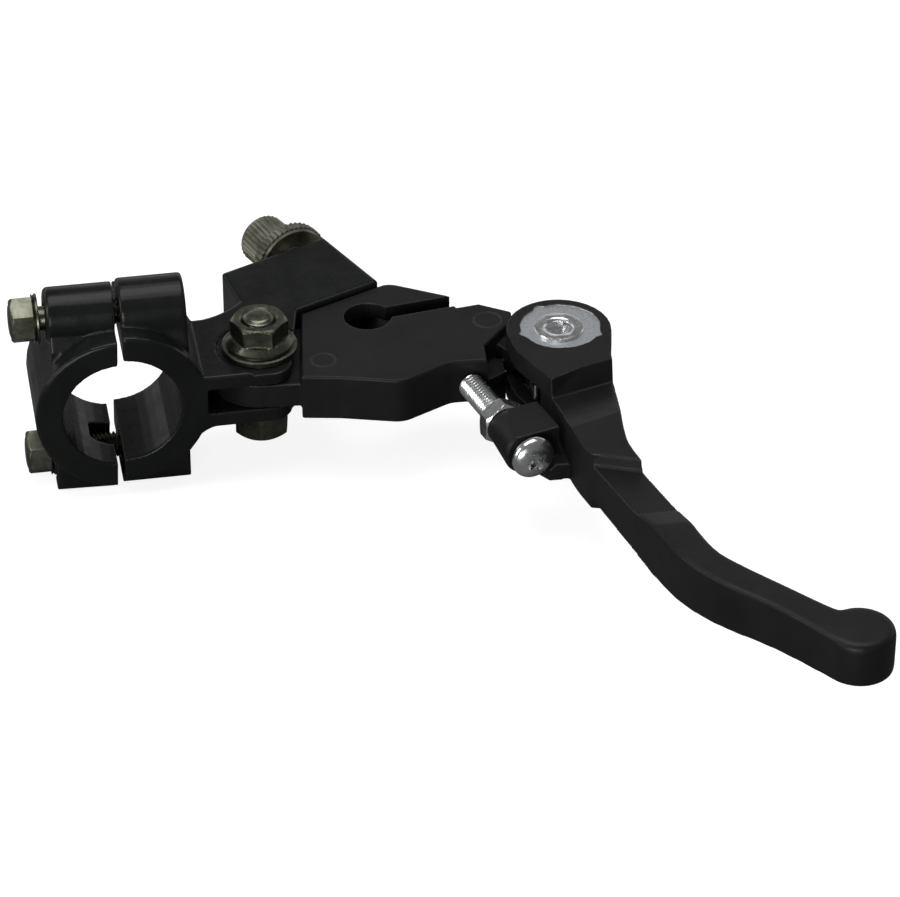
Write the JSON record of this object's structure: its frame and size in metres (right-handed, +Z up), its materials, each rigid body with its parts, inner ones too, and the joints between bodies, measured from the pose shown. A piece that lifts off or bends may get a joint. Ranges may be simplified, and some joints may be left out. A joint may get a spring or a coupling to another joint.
{
  "type": "clutch lever",
  "caption": "Folding hand lever on a split handlebar clamp perch, with knurled cable adjuster, keyhole cable anchor, fold-away finger blade and stop screw.",
  "frame": {"origin": "middle of the clamp's ring wall on its inboard end face, level with the handlebar axis on the lever side", "axes": "+Y along the handlebar towards its middle, +X from the bar towards the lever pivots, +Z up, parallel to both lever pivots"},
  "size_m": [0.1442, 0.1613, 0.0417],
  "materials": {
    "black_paint": "semi-gloss black paint on die-cast aluminium",
    "satin_paint": "satin black paint on forged aluminium, fine texture",
    "dark_zinc": "dark yellow-bronze zinc plating on steel",
    "olive_zinc": "dull olive-grey plating, knurled",
    "bright_zinc": "bright zinc plating on steel",
    "steel": "bare turned steel, oiled"
  },
  "bodies": {
    "perch": {"perch": "black_paint", "clamp_cap": "black_paint", "clamp_bolt_upper": "dark_zinc", "clamp_bolt_lower": "dark_zinc", "pivot_bolt": "dark_zinc", "pivot_washer": "dark_zinc", "pivot_nut": "dark_zinc", "pivot_bush": "steel"},
    "adjuster": {"cable_adjuster": "olive_zinc"},
    "lock_ring": {"adjuster_lock_ring": "olive_zinc"},
    "lever": {"lever_body": "satin_paint", "fold_spring": "bright_zinc"},
    "blade": {"lever_blade": "satin_paint", "fold_screw": "bright_zinc", "fold_nut": "bright_zinc", "fold_bush": "steel", "fold_shim_upper": "steel", "fold_shim_lower": "steel"},
    "stop_screw": {"stop_screw": "bright_zinc"},
    "stop_nut": {"stop_nut": "bright_zinc"}
  },
  "joints": [
    {"name": "lever_pull", "type": "hinge", "parent": "perch", "child": "lever", "pos_m": [0.0135, -0.0116, 0], "axis": [0, 0, -1], "range_deg": [0, 20]},
    {"name": "blade_fold", "type": "hinge", "parent": "lever", "child": "blade", "pos_m": [0.0704, -0.0179, 0], "axis": [0, 0, 1], "range_deg": [0, 85]},
    {"name": "adjuster_out", "type": "slide", "parent": "perch", "child": "adjuster", "axis": [-0.4067, 0.9135, 0], "range_m": [0, 0.008]},
    {"name": "lock_ring_spin", "type": "hinge", "parent": "adjuster", "child": "lock_ring", "pos_m": [0.0262, 0.0226, 0], "axis": [-0.4067, 0.9135, 0], "continuous": true},
    {"name": "stop_screw_out", "type": "slide", "parent": "blade", "child": "stop_screw", "axis": [0.2706, -0.9627, 0], "range_m": [0, 0.005]},
    {"name": "stop_nut_spin", "type": "hinge", "parent": "blade", "child": "stop_nut", "pos_m": [0.05215, -0.02285, 0], "axis": [0.2706, -0.9627, 0], "continuous": true}
  ]
}
